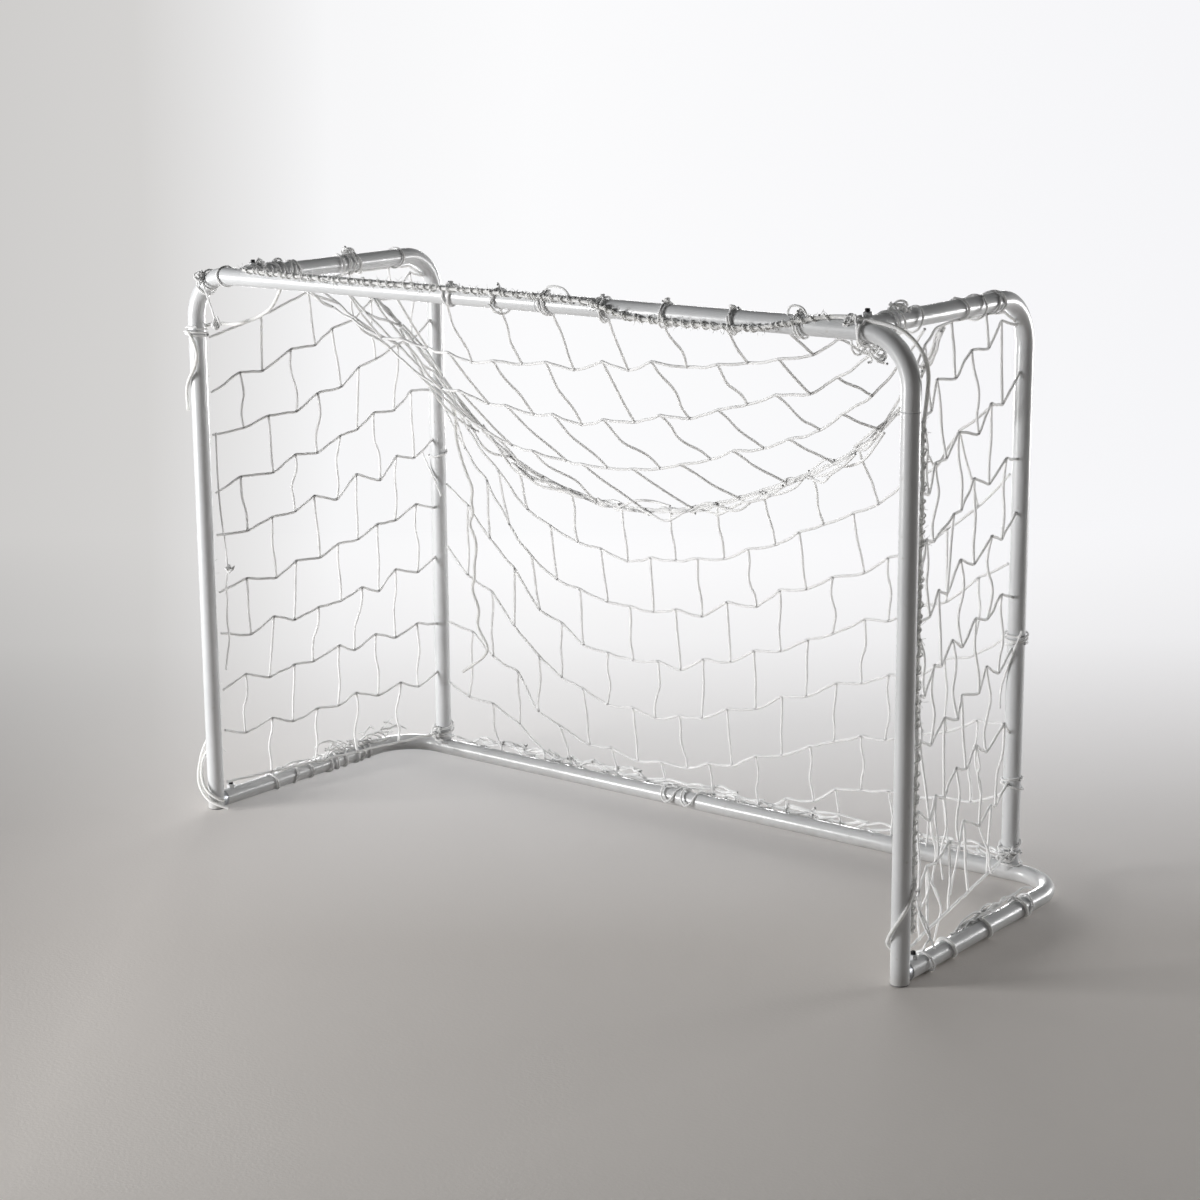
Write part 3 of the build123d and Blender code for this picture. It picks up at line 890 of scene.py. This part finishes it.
# Painted shade: the floor is coloured darker towards the left.
painted_shade_at_left = ramp(tree, side_share, (0.0, 0.22), (0.18, 0.66), (0.29, 1.0), (0.5, 1.0), (1.0, 0.97))
shade = tree.nodes.new("ShaderNodeMix")
shade.data_type = "RGBA"
shade.blend_type = "MULTIPLY"
shade.inputs["Factor"].default_value = 1
tree.links.new(floor_tone_with_painted_falloff, shade.inputs["A"])
tree.links.new(painted_shade_at_left, shade.inputs["B"])
tree.links.new(shade.outputs["Result"], shader.inputs["Base Color"])
grit = noise(tree, where.outputs["Object"], 180, 6)
bump(tree, shader, grit, 0.0003)
fade = ramp(tree, away, (0.28, 0.0), (0.36, 0.25), (0.5, 0.8), (0.64, 1.0))
rays = tree.nodes.new("ShaderNodeLightPath")
seen = math_node(tree, "MAXIMUM", rays.outputs["Is Camera Ray"], rays.outputs["Is Glossy Ray"])
white = tree.nodes.new("ShaderNodeEmission")
from_camera = tree.nodes.new("ShaderNodeVectorMath")
from_camera.operation = "SUBTRACT"
tree.links.new(where.outputs["Object"], from_camera.inputs[0])
from_camera.inputs[1].default_value = camera_place
bearing = tree.nodes.new("ShaderNodeVectorMath")
bearing.operation = "NORMALIZE"
tree.links.new(from_camera.outputs[0], bearing.inputs[0])
tree.links.new(wall_tone(tree, bearing.outputs[0]), white.inputs["Color"])
blend = tree.nodes.new("ShaderNodeMixShader")
tree.links.new(math_node(tree, "MULTIPLY", fade, seen), blend.inputs[0])
tree.links.new(shader.outputs[0], blend.inputs[1])
tree.links.new(white.outputs[0], blend.inputs[2])
tree.links.new(blend.outputs[0], tree.nodes["Material Output"].inputs["Surface"])
floor_data.materials.append(floor_paint)

world = bpy.data.worlds.new("studio")
bpy.context.scene.world = world
world.use_nodes = True
tree = world.node_tree
tree.nodes.clear()
rays = tree.nodes.new("ShaderNodeLightPath")
dim = tree.nodes.new("ShaderNodeBackground")
bright = tree.nodes.new("ShaderNodeBackground")
sky = tree.nodes.new("ShaderNodeTexCoord")
# Light comes back from the floor and the wall behind; the room above and in front is dark.
low_and_behind = tree.nodes.new("ShaderNodeVectorMath")
low_and_behind.operation = "DOT_PRODUCT"
tree.links.new(sky.outputs["Generated"], low_and_behind.inputs[0])
low_and_behind.inputs[1].default_value = (-0.31, 0.39, -0.5)
share = math_node(tree, "ADD", low_and_behind.outputs["Value"], 0.5)
glow = ramp(tree, share, (0.0, 0.07), (0.35, 0.11), (0.6, 0.24), (1.0, 0.6))
tree.links.new(glow, dim.inputs["Color"])
# Camera rays see the wall, painted greyer towards the left as shade.
tree.links.new(wall_tone(tree, sky.outputs["Generated"]), bright.inputs["Color"])
choose = tree.nodes.new("ShaderNodeMixShader")
out = tree.nodes.new("ShaderNodeOutputWorld")
tree.links.new(rays.outputs["Is Camera Ray"], choose.inputs[0])
tree.links.new(dim.outputs[0], choose.inputs[1])
tree.links.new(bright.outputs[0], choose.inputs[2])
tree.links.new(choose.outputs[0], out.inputs["Surface"])


def soft_lamp(name, place, aim, width, height, watts):
    data = bpy.data.lights.new(name, "AREA")
    data.shape = "RECTANGLE"
    data.size = width
    data.size_y = height
    data.energy = watts
    lamp = bpy.data.objects.new(name, data)
    lamp.location = place
    lamp.rotation_euler = (Vector(aim) - Vector(place)).to_track_quat("-Z", "Y").to_euler()
    bpy.context.scene.collection.objects.link(lamp)


soft_lamp("key_lamp", (-2.4, -2.8, 0.7), (0, 0, 0.45), 1.3, 1.0, 128)
soft_lamp("rim_lamp_right", (2.0, 3.2, 0.5), (0, 0, 0.5), 1.6, 0.8, 60)
soft_lamp("rim_lamp_left", (-2.4, 3.2, 0.5), (0, 0, 0.5), 2.6, 0.8, 125)

bpy.context.scene.view_settings.view_transform = "Standard"
